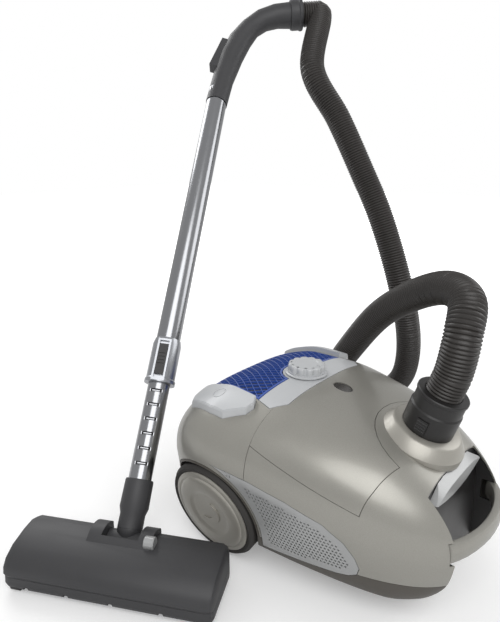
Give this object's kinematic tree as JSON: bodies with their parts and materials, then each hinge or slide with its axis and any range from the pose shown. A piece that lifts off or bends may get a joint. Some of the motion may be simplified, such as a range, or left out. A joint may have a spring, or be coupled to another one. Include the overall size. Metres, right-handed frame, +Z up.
{
  "type": "canister vacuum cleaner",
  "caption": "Canister vacuum cleaner with a hinged lid, large rear wheels, ribbed hose, telescopic chromed wand and a wide floor head.",
  "frame": {"origin": "middle of the base of the box round everything but the hose, on the floor", "axes": "+Z up and the longest way of the object without its hose; the canister's nose and hose inlet face -Y; +X to the left of someone standing behind the canister and looking at its nose, away from the floor head"},
  "size_m": [0.7989, 0.6348, 0.8003],
  "materials": {
    "taupe_lacquer": "satin metallic lacquer",
    "dark_taupe_plastic": "fine matt grain",
    "silver_lacquer": "satin silver lacquer",
    "pale_grey_plastic": "smooth satin",
    "blue_plastic": "smooth satin",
    "black_plastic": "smooth satin",
    "black_rubber": "matt",
    "chromed_steel": "mirror",
    "steel": "plain",
    "graphite_plastic": "fine matt grain",
    "filter_paper": "matt",
    "card": "matt",
    "filter_foam": null,
    "smoked_window": "polished dark lens"
  },
  "bodies": {
    "canister": {"bag_collar": "card", "base_tray": "dark_taupe_plastic", "bulkhead": "dark_taupe_plastic", "carry_handle": "taupe_lacquer", "control_bezel": "pale_grey_plastic", "cord_outlet": "black_plastic", "dust_bag": "filter_paper", "front_shell": "taupe_lacquer", "handle_recess": "black_plastic", "head_cover": "graphite_plastic", "head_sole": "graphite_plastic", "hose": "black_plastic", "inlet_collar": "silver_lacquer", "inlet_duct": "black_plastic", "motor_filter": "filter_foam", "motor_unit": "steel", "rear_shell": "taupe_lacquer", "reel_bracket": "steel", "side_panel_left": "silver_lacquer", "side_panel_right": "silver_lacquer", "speed_control": "black_plastic", "wheel_axle_left": "steel", "wheel_axle_right": "steel"},
    "lid": {"lid": "taupe_lacquer", "lid_seal": "black_rubber", "window_lens": "smoked_window"},
    "lid_latch": {"lid_latch": "silver_lacquer"},
    "suction_knob": {"suction_knob": "pale_grey_plastic"},
    "power_pedal": {"power_pedal": "pale_grey_plastic"},
    "rewind_pedal": {"rewind_pedal": "pale_grey_plastic"},
    "exhaust_grille": {"exhaust_grille": "blue_plastic", "exhaust_filter": "filter_foam"},
    "wheel_left": {"rear_tyre_left": "black_rubber", "rear_hub_left": "black_plastic", "hub_cap_left": "taupe_lacquer"},
    "wheel_right": {"rear_tyre_right": "black_rubber", "rear_hub_right": "black_plastic", "hub_cap_right": "taupe_lacquer"},
    "caster_fork": {"caster_fork": "black_plastic", "caster_axle": "steel"},
    "caster_wheel": {"caster_wheel": "black_rubber"},
    "cord_reel": {"cord_reel": "black_plastic"},
    "hose_cuff": {"hose_cuff": "black_plastic"},
    "cuff_button_left": {"cuff_button_left": "black_plastic"},
    "cuff_button_right": {"cuff_button_right": "black_plastic"},
    "elbow": {"elbow": "graphite_plastic"},
    "wand_lower": {"neck_tube": "graphite_plastic", "lower_tube": "chromed_steel"},
    "wand_upper": {"upper_tube": "chromed_steel", "tube_sleeve": "steel", "handle": "graphite_plastic"},
    "tube_latch": {"tube_latch": "black_plastic"},
    "bleed_slider": {"bleed_slider": "graphite_plastic"},
    "hose_end_collar": {"hose_end_collar": "graphite_plastic"},
    "brush_roll": {"brush_roll": "blue_plastic"},
    "head_wheel_left": {"head_wheel_left": "black_plastic"},
    "head_wheel_right": {"head_wheel_right": "black_plastic"},
    "rear_roller_left": {"rear_roller_left": "silver_lacquer"},
    "rear_roller_right": {"rear_roller_right": "silver_lacquer"}
  },
  "joints": [
    {"name": "lid_hinge", "type": "hinge", "parent": "canister", "child": "lid", "pos_m": [-0.00477, -0.07342, 0.231], "axis": [-1, 0, 0], "range_deg": [0, 55]},
    {"name": "lid_latch_press", "type": "slide", "parent": "canister", "child": "lid_latch", "axis": [0, 1, 0], "range_m": [0, 0.0025], "stiffness_N_per_m": 400},
    {"name": "suction_knob_turn", "type": "hinge", "parent": "canister", "child": "suction_knob", "pos_m": [-0.00477, -0.04742, 0.2304], "axis": [0, 0, 1], "range_deg": [-135, 135]},
    {"name": "power_pedal_press", "type": "slide", "parent": "canister", "child": "power_pedal", "axis": [0, 0, -1], "range_m": [0, 0.004], "stiffness_N_per_m": 600},
    {"name": "rewind_pedal_press", "type": "slide", "parent": "canister", "child": "rewind_pedal", "axis": [0, 0, -1], "range_m": [0, 0.004], "stiffness_N_per_m": 600},
    {"name": "grille_lift", "type": "slide", "parent": "canister", "child": "exhaust_grille", "axis": [0, 0, 1], "range_m": [0, 0.04]},
    {"name": "wheel_axis_left", "type": "hinge", "parent": "canister", "child": "wheel_left", "pos_m": [0.14723, -0.00342, 0.06743], "axis": [0.9781, 0, -0.2079], "continuous": true},
    {"name": "wheel_axis_right", "type": "hinge", "parent": "canister", "child": "wheel_right", "pos_m": [-0.15677, -0.00342, 0.06743], "axis": [-0.9781, 0, -0.2079], "continuous": true},
    {"name": "caster_swivel", "type": "hinge", "parent": "canister", "child": "caster_fork", "pos_m": [-0.00477, -0.20842, 0], "axis": [0, 0, 1], "continuous": true},
    {"name": "caster_wheel_axis", "type": "hinge", "parent": "caster_fork", "child": "caster_wheel", "pos_m": [-0.00477, -0.19642, 0.017], "axis": [1, 0, 0], "continuous": true},
    {"name": "cord_reel_axis", "type": "hinge", "parent": "canister", "child": "cord_reel", "pos_m": [-0.06277, 0.01058, 0.095], "axis": [1, 0, 0], "continuous": true},
    {"name": "hose_cuff_swivel", "type": "hinge", "parent": "canister", "child": "hose_cuff", "pos_m": [-0.00477, -0.22242, 0.199], "axis": [0, -0.309, 0.9511], "continuous": true, "deforming": ["hose"]},
    {"name": "cuff_button_left_press", "type": "slide", "parent": "hose_cuff", "child": "cuff_button_left", "axis": [-1, 0, 0], "range_m": [0, 0.0018], "stiffness_N_per_m": 300},
    {"name": "cuff_button_right_press", "type": "slide", "parent": "hose_cuff", "child": "cuff_button_right", "axis": [1, 0, 0], "range_m": [0, 0.0018], "stiffness_N_per_m": 300},
    {"name": "elbow_pitch", "type": "hinge", "parent": "canister", "child": "elbow", "pos_m": [-0.24591, 0.06038, 0.04173], "axis": [0.4546, -0.8907, 0], "range_deg": [-37, 38], "deforming": ["hose"]},
    {"name": "wand_swivel", "type": "hinge", "parent": "elbow", "child": "wand_lower", "pos_m": [-0.23377, 0.06658, 0.059], "axis": [0.552, 0.2817, 0.7848], "range_deg": [-60, 60]},
    {"name": "telescope", "type": "slide", "parent": "wand_lower", "child": "wand_upper", "axis": [0.552, 0.2817, 0.7848], "range_m": [-0.125, 0.17]},
    {"name": "tube_latch_press", "type": "slide", "parent": "wand_upper", "child": "tube_latch", "axis": [0.552, 0.2817, 0.7848], "range_m": [0, 0.005], "stiffness_N_per_m": 300},
    {"name": "bleed_slide", "type": "slide", "parent": "wand_upper", "child": "bleed_slider", "axis": [0.6587, 0.1065, 0.7448], "range_m": [-0.02, 0]},
    {"name": "hose_end_swivel", "type": "hinge", "parent": "wand_upper", "child": "hose_end_collar", "pos_m": [0.3346, 0.24145, 0.77096], "axis": [0.6809, -0.7291, 0.0694], "continuous": true},
    {"name": "brush_roll_axis", "type": "hinge", "parent": "canister", "child": "brush_roll", "pos_m": [-0.28421, 0.04083, 0.022], "axis": [0.4546, -0.8907, 0], "continuous": true},
    {"name": "head_wheel_left_axis", "type": "hinge", "parent": "canister", "child": "head_wheel_left", "pos_m": [-0.24702, -0.07604, 0.0066], "axis": [0.4546, -0.8907, 0], "continuous": true},
    {"name": "head_wheel_right_axis", "type": "hinge", "parent": "canister", "child": "head_wheel_right", "pos_m": [-0.35703, 0.13951, 0.0066], "axis": [0.4546, -0.8907, 0], "continuous": true},
    {"name": "rear_roller_left_axis", "type": "hinge", "parent": "canister", "child": "rear_roller_left", "pos_m": [-0.21411, 0.00027, 0.011], "axis": [0.4546, -0.8907, 0], "continuous": true},
    {"name": "rear_roller_right_axis", "type": "hinge", "parent": "canister", "child": "rear_roller_right", "pos_m": [-0.27593, 0.1214, 0.011], "axis": [0.4546, -0.8907, 0], "continuous": true}
  ]
}
